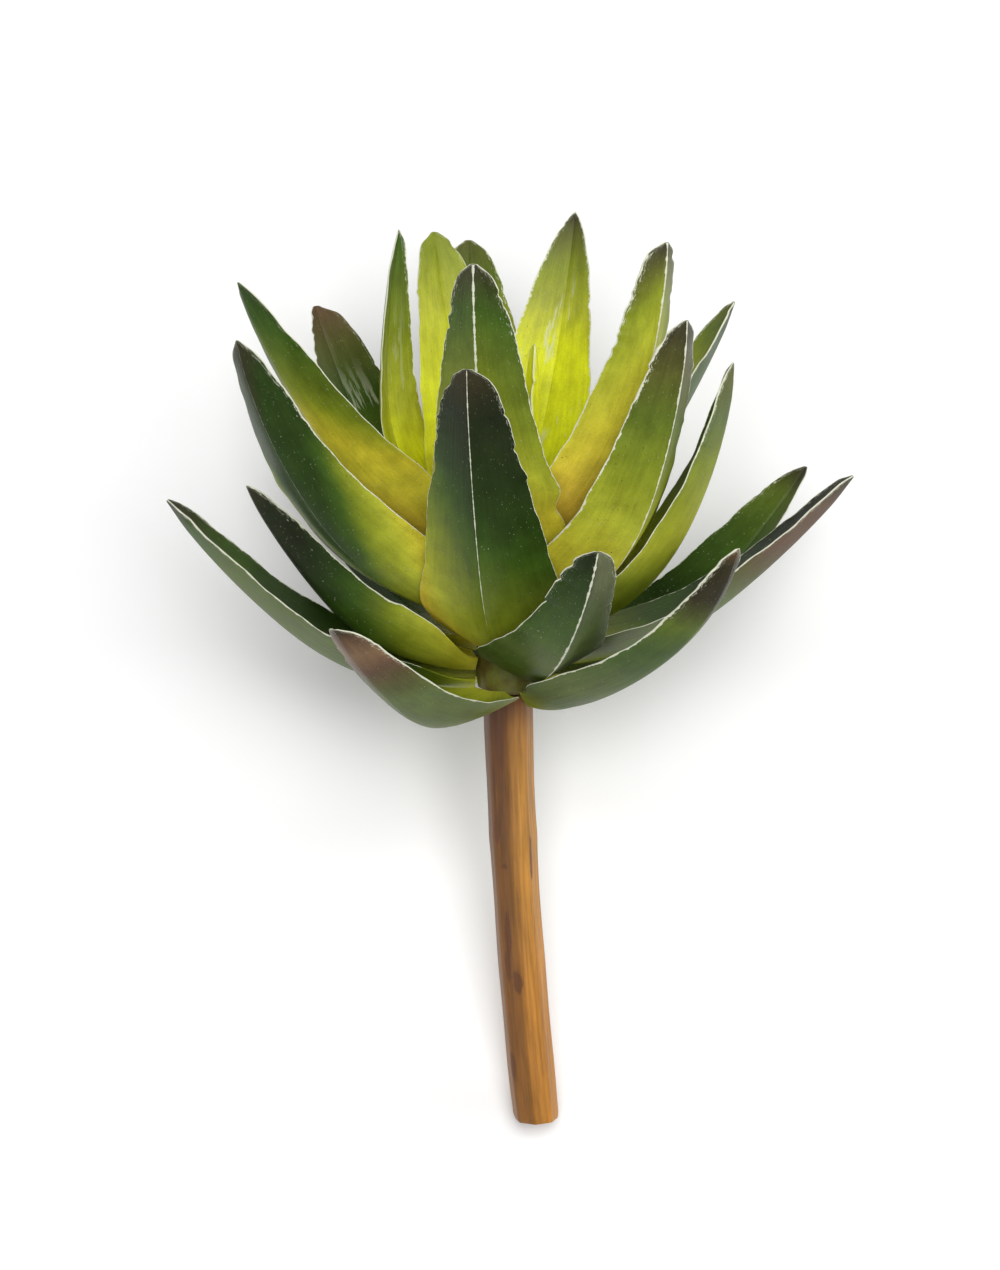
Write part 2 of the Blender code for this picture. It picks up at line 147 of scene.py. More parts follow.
# leaves that differ: own paint, spread (how much further the green has come along the margins,
# or down the middle when negative), skew (the same to one side), strength of the pale flash on
# margins and on the keel, ragged margins left and right near the tip, painted_sheen (a grey sheen
# painted on one facet), glint (painted highlight streaks on the inner face) and bulge (a bump on one
# margin)
OWN = {
    "lower_leaf_1": dict(inner="olive 0 fern .25 bottle .5 fern .7 moss .9 bark 1", flash=0.9),
    # the sage band on its outer face is a painted glossy grey sheen
    "lower_leaf_3": dict(outer="pear 0 fern .2 sage .4 sage .6 sage .75 fern .9 bark 1", flash=1.5),
    "lower_leaf_4": dict(outer="olive 0 moss .2 sage .35 sage .6 khaki .68 umber .78 bronze .87 "
                               "umber .95 bark 1", flash=0.9, keel=0.1),
    "lower_leaf_5": dict(outer="olive 0 fern .15 sage .3 fern .6 moss .72 bark .84 bark .95 umber 1",
                         flash=1.1, keel=0.1),
    "shoulder_leaf_3": dict(outer="gold 0 pear .18 olive .28 moss .36 fern .44 bottle .56 night .75 "
                                  "night .9 bark 1", spread=-0.2, flash=0.9, keel=0.1),
    "shoulder_leaf_4": dict(outer="olive 0 fern .12 sage .4 fern .6 bottle .85 night 1", keel=1.9,
                            painted_sheen=0.75, ragged=(0.5, 0.2)),
    "shoulder_leaf_5": dict(outer="pear 0 moss .2 sage .4 sage .52 khaki .62 umber .74 umber .9 bark 1",
                            flash=0.9),
    "middle_leaf_3": dict(inner="pear 0 olive .3 moss .5 fern .7 khaki .88 umber 1",
                          ragged=(0.1, 0.9), glint=1),
    "middle_leaf_4": dict(outer="gold 0 straw .12 pear .24 olive .38 fern .5 bottle .64 bottle .88 "
                                "bark 1", spread=-0.5, keel=0.1, flash=0.6),
    "middle_leaf_5": dict(outer="amber 0 straw .07 pear .15 olive .27 moss .42 fern .55 bottle .66 "
                                "night .88 bark .97",
                          spread=-0.1, skew=0.2, keel=0.9, ragged=(0.6, 0.3)),
    "middle_leaf_6": dict(outer="gold 0 straw .2 pear .4 olive .56 moss .72 khaki .86 bark 1",
                          flash=1.5, keel=1.9, ragged=(0.6, 0.1), skew=0.06),
    # its sage band near the tip is a painted sheen
    "middle_leaf_7": dict(outer="straw 0 olive .2 olive .32 pear .48 olive .68 sage .84 khaki 1",
                          spread=0.1, keel=1, flash=0.9),
    "upper_leaf_1": dict(outer="pear 0 olive .3 sage .6 fern .8 bottle .97", flash=1.4, keel=1.2,
                         painted_sheen=0.4),
    "upper_leaf_2": dict(outer="straw 0 olive .4 khaki .7 umber .85 umber 1", flash=1),
    "upper_leaf_3": dict(outer="amber 0 amber .12 gold .3 straw .45 olive .6 moss .74 fern .87 "
                               "bottle 1", spread=0.36, skew=-0.1, flash=0.3, keel=0.1),
    "upper_leaf_4": dict(outer="amber 0 gold .14 straw .34 pear .5 olive .64 moss .78 fern .88 bark 1",
                         spread=0.12, skew=0.06, keel=2.1, flash=0.7, bulge=1, painted_sheen=-0.12,
                         ragged=(0.3, 0.1)),
    "inner_leaf_1": dict(flash=2.2, keel=0.6, ragged=(0.1, 0.1), glint=1,
                         inner="lime 0 lime .55 pear .68 olive .82 khaki .95 bark 1"),
    "inner_leaf_2": dict(flash=0.6, inner="gold 0 lime .4 pear .75 olive .95"),
    "inner_leaf_3": dict(outer="amber 0 amber .2 gold .5 pear .7 olive .84 khaki .94 bark 1",
                         spread=0.2, flash=1, keel=2.2, painted_sheen=0.4, ragged=(1.0, 0.4)),
    "crown_leaf": dict(outer="lime 0 lime .3 pear .45 olive .65 moss .8 fern .95",
                       inner="lime 0 lime .35 pear .5 olive .68 moss .85 fern .97",
                       flash=1.4, painted_sheen=-0.5, glint=0.3),
}


def linear(rgb):
    c = np.array(rgb, float) / 255
    return np.where(c <= 0.04045, c / 12.92, ((c + 0.055) / 1.055) ** 2.4)


def ramp(words, x):
    """Colours along a leaf from 'name place name place ...', in linear light."""
    words = words.split()
    places = [float(w) for w in words[1::2]]
    if places[-1] < 1:
        places, words = places + [1.0], words + [words[-2], "1"]
    colours = np.array([linear(PAINT[w]) for w in words[0::2]])
    x = np.clip(x, 0, 1)
    return np.stack([np.interp(x, places, colours[:, k] ** 0.5) ** 2 for k in range(3)], axis=-1)


def smooth_curve(x, xs, ys):
    """Monotone curve through (xs, ys), so an outline never bulges past its own numbers."""
    xs, ys = np.asarray(xs, float), np.asarray(ys, float)
    slope = np.diff(ys) / np.diff(xs)
    tangent = np.concatenate([slope[:1], np.zeros(len(slope) - 1), slope[-1:]])
    for i in range(1, len(slope)):
        a, b = slope[i - 1], slope[i]
        tangent[i] = 2 * a * b / (a + b) if a * b > 0 else 0
    i = np.clip(np.searchsorted(xs, x) - 1, 0, len(slope) - 1)
    h = xs[i + 1] - xs[i]
    t = (x - xs[i]) / h
    return ((1 + 2 * t) * (1 - t) ** 2 * ys[i] + t * (1 - t) ** 2 * h * tangent[i]
            + t * t * (3 - 2 * t) * ys[i + 1] + t * t * (t - 1) * h * tangent[i + 1])


def step(lo, hi, x):
    x = np.clip((x - lo) / (hi - lo), 0, 1)
    return x * x * (3 - 2 * x)


def waves(rng, x, lengths, size):
    """Irregular wave along x (mm): one sine for each wavelength, shorter ones smaller."""
    total = np.zeros_like(x)
    for length in lengths:
        total += np.sin(2 * pi * x / length + rng.uniform(0, 2 * pi)) * (length / lengths[0]) ** 0.7
    return size * total / len(lengths) ** 0.5


def leaf_spine(leaf, azimuth, at):
    """Points down the middle of a leaf with its across and inward directions."""
    out = np.array([cos(radians(azimuth)), sin(radians(azimuth)), 0])
    side = np.array([-out[1], out[0], 0])
    up = np.array([0, 0, 1.0])
    fine = np.linspace(0, 1, 61)
    climb = smooth_curve(fine, (0, 0.22, 0.55, 1), leaf["climb"]) + leaf.get("lean", 0) * fine ** 0.5
    heading = np.cos(np.radians(climb))[:, None] * out + np.sin(np.radians(climb))[:, None] * up
    stride = (heading[1:] + heading[:-1]) / 2 * leaf["length"] * LEAF_LENGTH / 60
    path = np.vstack([np.zeros(3), np.cumsum(stride, axis=0)]) + leaf["height"] * up
    point = np.array([smooth_curve(at, fine, path[:, k]) if k == 2 else np.interp(at, fine, path[:, k])
                      for k in range(3)]).T
    along = np.array([np.interp(at, fine, heading[:, k]) for k in range(3)]).T
    along /= np.linalg.norm(along, axis=1)[:, None]
    inward = np.cross(along, side)
    inward *= np.sign(inward @ (up - out))[:, None]
    roll = np.radians(leaf.get("roll", 0) * np.minimum(1, at / 0.35))[:, None]
    across = np.cos(roll) * side + np.sin(roll) * inward
    return out, point, across, np.cos(roll) * inward - np.sin(roll) * side


def half_width(leaf, at):
    blunt = leaf.get("blunt", 0)
    outline = (1 - blunt) * np.array(POINTED) + blunt * np.array(BLUNT)
    outline += leaf["full"] * np.array(FULL_BASE)
    return LEAF_WIDTH / 2 * leaf["width"] * smooth_curve(at, OUTLINE_AT, outline)


def seat_slide(leaf, azimuth):
    """How far the part's source slides this leaf out along its own direction to clear the core."""
    at = np.array(STATIONS)
    out, point, across, inward = leaf_spine(leaf, azimuth, at)
    half = half_width(leaf, at)
    thick = LEAF_THICKNESS * leaf["thick"] * smooth_curve(at, THICK_AT, THICK)
    cup = leaf["cup"] * smooth_curve(at, (0, 0.2, 0.6, 1), (0.3, 0.9, 1, 1))
    body = []
    for s, outer in ((-1, 0), (0, 0), (1, 0), (0.5, 1), (0, 1), (-0.5, 1)):
        rise = cup * half * (0.8 * abs(s) + 0.2 * s * s) - outer * thick * (1 - abs(s)) ** 0.9
        body.append(point + (s * half)[:, None] * across + rise[:, None] * inward)
    body = np.vstack(body)
    radius, height = np.array(CORE_PROFILE).T
    heights = np.append([-STEM_LENGTH, CORE_FOOT - GAP], CORE_FOOT + height * (CORE_TOP - CORE_FOOT))
    need = np.interp(body[:, 2], heights, np.append([STEM_RADIUS] * 2, radius * CORE_RADIUS),
                     left=-1, right=-1) + GAP
    reach = body @ out
    off = body - np.outer(reach, out)
    off[:, 2] = 0
    free = np.sqrt(np.maximum(need ** 2 - (off ** 2).sum(axis=1), 0))
    return max(0.0, (free - reach)[need > GAP].max(initial=-1))


def build_mesh(name, verts, faces, sharp=40):
    mesh = bpy.data.meshes.new(name)
    mesh.from_pydata((np.asarray(verts) * MM).tolist(), [], faces)
    mesh.transform(LIE)
    mesh.polygons.foreach_set("use_smooth", [True] * len(mesh.polygons))
    mesh.update()
    mesh.set_sharp_from_angle(angle=radians(sharp))
    return mesh


def put(mesh, kind, name, values):
    values = np.asarray(values, float)
    if kind == "FLOAT_COLOR":
        values = np.hstack([values, np.ones((len(values), 1))])
    layer = mesh.attributes.new(name, kind, "POINT")
    layer.data.foreach_set({"FLOAT": "value", "FLOAT_VECTOR": "vector", "FLOAT_COLOR": "color"}[kind],
                           values.astype(np.float32).ravel())


# places of the points across a leaf, from margin (1) towards the middle, on each face
IN_S = np.array([1, 0.97, 0.91, 0.82, 0.7, 0.57, 0.43, 0.29, 0.15, 0.06])
OUT_S = np.array([1, 0.975, 0.92, 0.83, 0.72, 0.6, 0.48, 0.36, 0.25, 0.15])
BESIDE_KEEL, BESIDE_KEEL_MAX = (0.42, 0.16), (0.1, 0.045)   # mm from the keel, and most share of width
RIM, NARROWEST = 0.34, 0.12                                 # mm: margin thickness, half width at a tip
KEEL_HEIGHT, KEEL_WIDTH = 0.24, 0.24                        # mm: the flash line along the keel
FAR = 9.0                                                   # mm: stands for no keel on the inner face


def tube(rows, n):
    """Faces of a closed tube of rings, with one more point in the middle of each end."""
    faces = [(r * n + k, r * n + (k + 1) % n, (r + 1) * n + (k + 1) % n, (r + 1) * n + k)
             for r in range(rows - 1) for k in range(n)]
    faces += [((k + 1) % n, k, rows * n) for k in range(n)]
    faces += [((rows - 1) * n + k, (rows - 1) * n + (k + 1) % n, rows * n + 1) for k in range(n)]
    return faces


def show(mesh, name, node, material):
    """Put a skin in the scene in place of the CAD node that it stands for."""
    ob = bpy.data.objects.new(name, mesh)
    bpy.context.scene.collection.objects.link(ob)
    mesh.materials.append(material)
    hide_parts(node)
    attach(ob, "root")


def make_leaf(name):
    """Fine leaf: cupped inner face, thin rim, keeled outer face with a raised flash line."""
    row, azimuth, own = LEAVES[name]
    leaf = {**ROWS[row], **own}
    look = OWN.get(name, {})
    rng = np.random.default_rng(sorted(LEAVES).index(name) + 11)
    at = np.concatenate([np.linspace(0, 0.22, 16, endpoint=False),
                         np.linspace(0.22, 0.7, 38, endpoint=False),
                         np.linspace(0.7, 0.985, 46), [0.993, 1.0]])
    length = leaf["length"] * LEAF_LENGTH
    run = at * length
    out, point, across, inward = leaf_spine(leaf, azimuth, at)
    point = point + seat_slide(leaf, azimuth) * out
    half = np.maximum(half_width(leaf, at), NARROWEST)
    thick = LEAF_THICKNESS * leaf["thick"] * smooth_curve(at, THICK_AT, THICK)
    cup = leaf["cup"] * smooth_curve(at, (0, 0.2, 0.6, 1), (0.3, 0.9, 1, 1))
    rim = np.minimum(RIM, 0.5 * thick)
    lively = step(0.08, 0.3, at) * (1 - step(0.97, 1.0, at))
    ragged = look.get("ragged", (0.12, 0.12))
    margin, curl = {}, {}
    for k, sign in enumerate((-1, 1)):
        margin[sign] = lively * waves(rng, run, (27, 11, 5.5), 0.26)
        for _ in range(int(22 * ragged[k])):        # nicks and burrs of the mould seam
            place, size = length * rng.uniform(0.68, 0.985), rng.uniform(0.35, 1.1)
            margin[sign] += rng.uniform(-0.55, 0.4) * np.exp(-((run - place) / size) ** 2)
        curl[sign] = lively * waves(rng, run, (31, 14, 7), 0.28)
    if look.get("bulge"):
        margin[1] += (1.1 * np.exp(-((at - 0.37) / 0.035) ** 2)
                      - 0.5 * np.exp(-((at - 0.3) / 0.03) ** 2))
    ridge = (KEEL_HEIGHT * step(0.1, 0.35, at) * (1 - 0.7 * step(0.9, 1.0, at))
             * min(1.3, look.get("keel", 1) + 0.3))
    plump = 0.3 * (1 - min(1, look.get("keel", 0.7)))
    ring, info = [], []
    ins = np.concatenate([-IN_S, [0], IN_S[::-1]])
    outs = np.concatenate([OUT_S, [None, None, 0, None, None], -OUT_S[::-1]])
    for face, places in ((0, ins), (1, outs)):
        for j, s in enumerate(places):
            if s is None:                       # the four points beside the keel, set in millimetres
                side = j - len(OUT_S) - 2
                k = 2 - abs(side)
                s = -np.sign(side) * np.minimum(BESIDE_KEEL[k] / half, BESIDE_KEEL_MAX[k])
            else:
                s = np.full(len(at), float(s))
            a = np.abs(s)
            sign = -1 if s[0] < 0 else 1
            soft = np.sqrt(a * a + 0.006) - 0.0775
            if face:
                blurred = np.sqrt(a * a + plump ** 2) * (1 - a) + a * a
                rise = cup * half * (0.8 * blurred + 0.2 * a * a)
                rise = rise - rim - (thick - rim) * (1 - a) ** 0.9
            else:
                rise = cup * half * (0.8 * soft + 0.2 * a * a)
                rise = rise - ridge * np.exp(-(a * half / KEEL_WIDTH) ** 2)
            rise = rise + a ** 2 * curl[sign]
            shift = s * half + sign * a ** 4 * margin[sign]
            ring.append(point + shift[:, None] * across + rise[:, None] * inward)
            info.append((s, np.full(len(at), face), (1 - a) * half,
                         a * half if face else np.full(len(at), FAR)))
    ring = np.array(ring).transpose(1, 0, 2)
    info = np.array(info).transpose(2, 0, 1)
    n_at, n = ring.shape[:2]
    tip = point[-1] - point[-3]
    verts = np.vstack([ring.reshape(-1, 3), ring[0].mean(axis=0),
                       ring[-1].mean(axis=0) + 0.15 * tip / np.linalg.norm(tip)])
    faces = tube(n_at, n)
    if np.linalg.det([across[5], inward[5], point[6] - point[5]]) > 0:
        faces = [f[::-1] for f in faces]
    mesh = build_mesh(name + "_skin", verts, faces)

    t = np.repeat(at, n)
    s, face, edge, keel = info.reshape(-1, 4).T
    tail = [0, -1]
    t, s, face, edge, keel = (np.append(v, v[tail]) for v in (t, s, face, edge, keel))
    reach = t + look.get("spread", 0.03) * (np.abs(s) - 0.45) * np.sin(np.clip(t, 0, 1) * pi)
    cloud = (waves(rng, t * length + 14 * s, (38, 17, 9), 0.016)
             + waves(rng, 9 * s + 0.2 * t * length, (7, 3.1), 0.012))
    reach = reach + (cloud + look.get("skew", 0) * s) * np.sin(np.clip(t * 1.1, 0, 1) * pi)
    outer, inner = look.get("outer", ROW_PAINT[row][0]), look.get("inner", ROW_PAINT[row][1])
    colour = np.where(face[:, None] > 0.5, ramp(outer, reach), ramp(inner, reach))
    shine = look.get("painted_sheen", 0)            # painted grey sheen on one facet, positive for its s > 0 side
    facet = abs(shine) * step(0.0, 0.15, s * np.sign(shine)) * step(0.1, 0.3, t) * (face > 0.5)
    facet = facet * (0.55 + 0.2 * np.sin(7 * t + 2 * s))
    colour = colour + facet[:, None] * (linear(PAINT["painted_sheen"]) - colour)
    put(mesh, "FLOAT_COLOR", "paint", PAINT_GAIN * colour)
    # where painted highlight streaks go on the inner face
    put(mesh, "FLOAT", "glint", look.get("glint", 0) * (face < 0.5) * step(0.12, 0.3, t)
        * (1 - step(0.62, 0.85, t)) * (1 - step(0.5, 0.85, np.abs(s))))
    put(mesh, "FLOAT", "along", t)
    put(mesh, "FLOAT", "edge", edge)
    put(mesh, "FLOAT", "keel", keel)
    put(mesh, "FLOAT", "flash", np.full(len(t), look.get("flash", 0.4)) * step(0.16, 0.4, t))
    put(mesh, "FLOAT", "ridge", np.full(len(t), look.get("keel", 0.7)) * step(0.2, 0.45, t))
    put(mesh, "FLOAT_VECTOR", "grain",
        np.stack([t * length, s * 12 + face * 40, 0 * t + rng.uniform(0, 500)], axis=1))
    show(mesh, name + "_skin", name, LEAF_SKIN)


# ---- shader helpers --------------------------------------------------------------------------
# the first colour is the pale flash and scuffs, and also the painted highlight streaks
FLASH_AND_GLINT_COLOUR, PIT_COLOUR, DUST_COLOUR = (0.72, 0.73, 0.58, 1), (0.03, 0.032, 0.015, 1), (0.5, 0.52, 0.4, 1)
SCAR_COLOUR = (0.10, 0.032, 0.009, 1)


def new_material(name):
    mat = bpy.data.materials.new(name)
    mat.use_nodes = True
    return mat, Graph(mat), mat.node_tree.nodes["Principled BSDF"]


class Graph:
    """Short names for the few node kinds used here."""

    def __init__(self, mat):
        self.nodes, self.links = mat.node_tree.nodes, mat.node_tree.links

    def wire(self, value, socket):
        if isinstance(value, bpy.types.NodeSocket):
            self.links.new(value, socket)
        else:
            socket.default_value = value

    def attribute(self, name, output="Fac"):
        node = self.nodes.new("ShaderNodeAttribute")
        node.attribute_name = name
        return node.outputs[output]

    def math(self, kind, a, b=0.0, clamp=False):
        node = self.nodes.new("ShaderNodeMath")
        node.operation, node.use_clamp = kind, clamp
        self.wire(a, node.inputs[0])
        self.wire(b, node.inputs[1])
        return node.outputs[0]

    def span(self, x, lo, hi, to_lo=0.0, to_hi=1.0):
        node = self.nodes.new("ShaderNodeMapRange")
        node.interpolation_type = "SMOOTHSTEP"
        for value, socket in zip((x, lo, hi, to_lo, to_hi), node.inputs):
            self.wire(value, socket)
        return node.outputs[0]

    def mix(self, fac, a, b, kind="MIX"):
        node = self.nodes.new("ShaderNodeMix")
        node.data_type, node.blend_type = "RGBA", kind
        self.wire(fac, node.inputs["Factor"])
        self.wire(a, node.inputs[6])
        self.wire(b, node.inputs[7])
        return node.outputs[2]

    def scaled(self, vector, scale):
        node = self.nodes.new("ShaderNodeVectorMath")
        node.operation = "MULTIPLY"
        self.wire(vector, node.inputs[0])
        node.inputs[1].default_value = scale
        return node.outputs[0]

    def noise(self, vector, scale, detail=2.0, rough=0.5):
        node = self.nodes.new("ShaderNodeTexNoise")
        self.wire(vector, node.inputs["Vector"])
        node.inputs["Scale"].default_value = scale
        node.inputs["Detail"].default_value = detail
        node.inputs["Roughness"].default_value = rough
        return node.outputs["Fac"]

    def bump(self, height, distance, strength=1.0, normal=None):
        node = self.nodes.new("ShaderNodeBump")
        self.wire(height, node.inputs["Height"])
        node.inputs["Distance"].default_value = distance
        node.inputs["Strength"].default_value = strength
        if normal is not None:
            self.wire(normal, node.inputs["Normal"])
        return node.outputs["Normal"]


def leaf_material():
    """Soft plastic skin: airbrushed paint, spray grain, pale flash on margins and keel, scuffs, painted
    highlight streaks.
    """
    mat, g, shader = new_material("leaf_skin")
    paint, along = g.attribute("paint", "Color"), g.attribute("along")
    edge, keel = g.attribute("edge"), g.attribute("keel")
    grain = g.attribute("grain", "Vector")
    spray = g.noise(grain, 3.2, 3, 0.7)
    patch = g.noise(grain, 0.22, 3, 0.55)
    streak = g.noise(g.scaled(grain, (0.09, 1.1, 1)), 1.0, 3, 0.6)
    tone = g.math("ADD", g.math("MULTIPLY", spray, 0.5), g.math("MULTIPLY", patch, 0.8))
    tone = g.math("ADD", g.math("ADD", tone, g.math("MULTIPLY", streak, 0.45)), 0.125)
    colour = g.mix(1.0, paint, tone, "MULTIPLY")
    # sparse dark pits and pale dust
    dots = g.noise(grain, 2.3, 1, 0.4)
    colour = g.mix(g.math("MULTIPLY", g.span(dots, 0.75, 0.785), 0.8), colour, PIT_COLOUR)
    dust = g.noise(g.scaled(grain, (1, 1, 1.3)), 2.6, 1, 0.4)
    colour = g.mix(g.math("MULTIPLY", g.span(dust, 0.73, 0.78), 0.5), colour, DUST_COLOUR)
    # pale flash line, broken up, wider where it is worn
    worn = g.noise(g.scaled(grain, (0.55, 0.0, 1)), 1.0, 3, 0.65)
    width = g.math("MULTIPLY", g.attribute("flash"), g.span(worn, 0.38, 0.7, 0.04, 0.36))
    line = g.span(edge, width, g.math("MULTIPLY", width, 0.45))
    keel_width = g.math("MULTIPLY", g.attribute("ridge"), g.span(worn, 0.36, 0.72, 0.06, 0.22))
    keel_line = g.span(keel, keel_width, g.math("MULTIPLY", keel_width, 0.45))
    line = g.math("MAXIMUM", line, g.math("MULTIPLY", keel_line, 0.95))
    # scuffed flecks close to the margins, mostly towards the tip
    fleck = g.noise(g.scaled(grain, (0.8, 2.2, 1)), 1.1, 4, 0.75)
    zone = g.math("MULTIPLY", g.span(edge, 1.6, 0.1), g.span(along, 0.45, 0.9))
    scuff = g.span(g.math("ADD", fleck, g.math("MULTIPLY", zone, 0.22)), 0.74, 0.8)
    scuff = g.math("MULTIPLY", scuff, g.math("MINIMUM", g.attribute("flash"), 1.0))
    line = g.math("MAXIMUM", line, scuff)
    # painted highlight: long pale glint streaks on the glossy inner face
    glint_streak = g.noise(g.scaled(grain, (0.05, 0.26, 1)), 1.0, 4, 0.62)
    glint_streak = g.math("MULTIPLY", g.span(glint_streak, 0.56, 0.6), g.attribute("glint"))
    line = g.math("MAXIMUM", line, g.math("MULTIPLY", glint_streak, 0.6))
    # pale flash, scuffs and painted highlight streaks are all mixed in here
    colour = g.mix(g.math("MULTIPLY", line, 0.9), colour, FLASH_AND_GLINT_COLOUR)
    g.wire(colour, shader.inputs["Base Color"])
    rough = g.math("ADD", g.math("MULTIPLY", patch, 0.22), g.math("MULTIPLY", spray, 0.12))
    g.wire(g.math("ADD", rough, 0.25), shader.inputs["Roughness"])
    fibre = g.noise(g.scaled(grain, (0.1, 1.6, 1)), 1.0, 2, 0.5)
    normal = g.bump(fibre, 0.00012, 0.5)
    normal = g.bump(spray, 0.00004, 0.6, normal)
    g.wire(normal, shader.inputs["Normal"])
    shader.inputs["Specular IOR Level"].default_value = 0.2
    return mat


def stem_material():
    """Dried stalk: tan with lengthwise streaks, brown patches and a small knot."""
    mat, g, shader = new_material("stem_bark")
    grain = g.attribute("grain", "Vector")
    paint, stain = g.attribute("paint", "Color"), g.attribute("stain")
    streak = g.noise(g.scaled(grain, (0.035, 1.0, 1)), 1.4, 4, 0.6)
    thread = g.noise(g.scaled(grain, (0.12, 4.0, 1)), 1.2, 3, 0.6)
    cloud = g.noise(g.scaled(grain, (0.12, 0.45, 1)), 1.0, 3, 0.55)
    tone = g.math("ADD", g.math("MULTIPLY", streak, 1.15), g.math("MULTIPLY", thread, 0.45))
    tone = g.math("ADD", tone, g.math("MULTIPLY", cloud, 0.7))
    colour = g.mix(1.0, paint, g.math("SUBTRACT", tone, 0.22), "MULTIPLY")
    blur = g.noise(g.scaled(grain, (0.5, 1.2, 1)), 1.0, 4, 0.7)
    blur = g.math("MULTIPLY", g.math("SUBTRACT", blur, 0.5), 0.9)
    mark = g.span(g.math("ADD", stain, blur), 0.28, 0.6)
    colour = g.mix(g.math("MULTIPLY", mark, 0.8), colour, SCAR_COLOUR)
    g.wire(colour, shader.inputs["Base Color"])
    g.wire(g.math("ADD", g.math("MULTIPLY", cloud, 0.25), 0.36), shader.inputs["Roughness"])
    normal = g.bump(streak, 0.0004, 0.5)
    g.wire(g.bump(thread, 0.00012, 0.5, normal), shader.inputs["Normal"])
    return mat


def core_material():
    mat, g, shader = new_material("core_skin")
    place = g.nodes.new("ShaderNodeTexCoord").outputs["Object"]
    cloud, fine = g.noise(place, 180, 3, 0.6), g.noise(place, 1500, 2, 0.6)
    # olive mixed in patches with brown; the brown is painted shade for the crevices between the leaf bases
    colour = g.mix(g.span(cloud, 0.35, 0.7), (0.15, 0.16, 0.022, 1), (0.10, 0.065, 0.014, 1))
    colour = g.mix(1.0, colour, g.math("ADD", g.math("MULTIPLY", fine, 0.5), 0.75), "MULTIPLY")
    g.wire(colour, shader.inputs["Base Color"])
    g.wire(g.math("ADD", g.math("MULTIPLY", fine, 0.2), 0.42), shader.inputs["Roughness"])
    g.wire(g.bump(fine, 0.0001, 0.5), shader.inputs["Normal"])
    return mat


def floor_material():
    mat, g, shader = new_material("pale_floor")
    place = g.nodes.new("ShaderNodeTexCoord").outputs["Object"]
    tint = g.mix(g.noise(place, 3, 2, 0.5), (0.93, 0.93, 0.93, 1), (0.95, 0.95, 0.95, 1))
    g.wire(tint, shader.inputs["Base Color"])
    shader.inputs["Roughness"].default_value = 0.9
    shader.inputs["Specular IOR Level"].default_value = 0.1
    return mat


# ---- the stem --------------------------------------------------------------------------------
FACETS = (8, 46, 88, 128, 176, 222, 268, 316)       # compass angles of its rounded corners
SHADED_SIDE = radians(337)                                # compass angle of its side with painted shade
FACET_TONE = (0.9, 1.05, 0.84, 1.1, 0.92, 1.06, 1.12, 0.86)       # each flattened side has its own tone
# the brown is painted shade, on one side and under the leaves
TAN, AMBER, SHADE_BROWN = (172, 120, 46), (172, 114, 36), (92, 50, 18)
# brown scars: place along the stem, angle round it, length and width of each
STAINS = ((0.30, 310, 0.04, 9), (0.39, 296, 0.007, 11), (0.55, 300, 0.055, 10), (0.62, 306, 0.04, 8),
          (0.66, 282, 0.03, 14), (0.38, 224, 0.06, 5), (0.12, 292, 0.06, 9), (0.75, 60, 0.04, 20),
          (0.3, 120, 0.05, 15), (0.86, 318, 0.04, 9))


def twist(s):
    """How far the corners have turned at a place along the stem."""
    return 0.10 * np.sin(2.2 * s + 0.4)


def make_stem():
    """Slightly bent stalk with eight flattened sides, an uneven clean cut and a few scars."""
    n_len, n_round = 150, 88
    top = CORE_FOOT - GAP
    t = np.concatenate([np.linspace(0, 1, n_len), [1.0]])
    line = np.column_stack([STEM_BEND * t ** 1.6, 0 * t, top + (-STEM_LENGTH - top) * t])
    down = np.gradient(line[:n_len], axis=0)
    down = np.vstack([down, down[-1]])
    down /= np.linalg.norm(down, axis=1)[:, None]
    u = np.cross((0, 1, 0), down)
    u /= np.linalg.norm(u, axis=1)[:, None]
    v = np.cross(down, u)
    angle = np.linspace(0, 2 * pi, n_round, endpoint=False)
    corner = np.radians(FACETS)
    verts = []
    for i, s in enumerate(t):
        turn = (angle[:, None] - corner[None, :] - twist(s) + pi) % (2 * pi) - pi
        nearest = np.abs(turn).min(axis=1)
        gap = 2 * pi / len(FACETS) / 2
        flat = 1 - 0.055 * step(0.0, gap, nearest) + 0.012 * np.exp(-(nearest / 0.07) ** 2)
        swell = 1 + 0.012 * np.sin(9 * s + 1) + 0.01 * np.sin(23 * s)
        swell += 0.02 * np.exp(-((s - 0.33) / 0.03) ** 2)
        radius = STEM_RADIUS * (1 + (STEM_TAPER - 1) * s) * flat * swell * 0.995
        if i == n_len - 2:
            radius = radius * 0.985
        if i >= n_len - 1:
            radius = radius * (0.955 if i == n_len - 1 else 0.90)
        spoke = np.cos(angle)[:, None] * u[i] + np.sin(angle)[:, None] * v[i]
        rings = line[i] + radius[:, None] * spoke
        if s > 0.9:                     # the cut runs a little uphill to one side
            rings = rings + np.outer((s - 0.9) / 0.1 * (0.35 * np.cos(angle) + 0.15), (0, 0, 1.0))
        verts.append(rings)
    return verts, t, angle


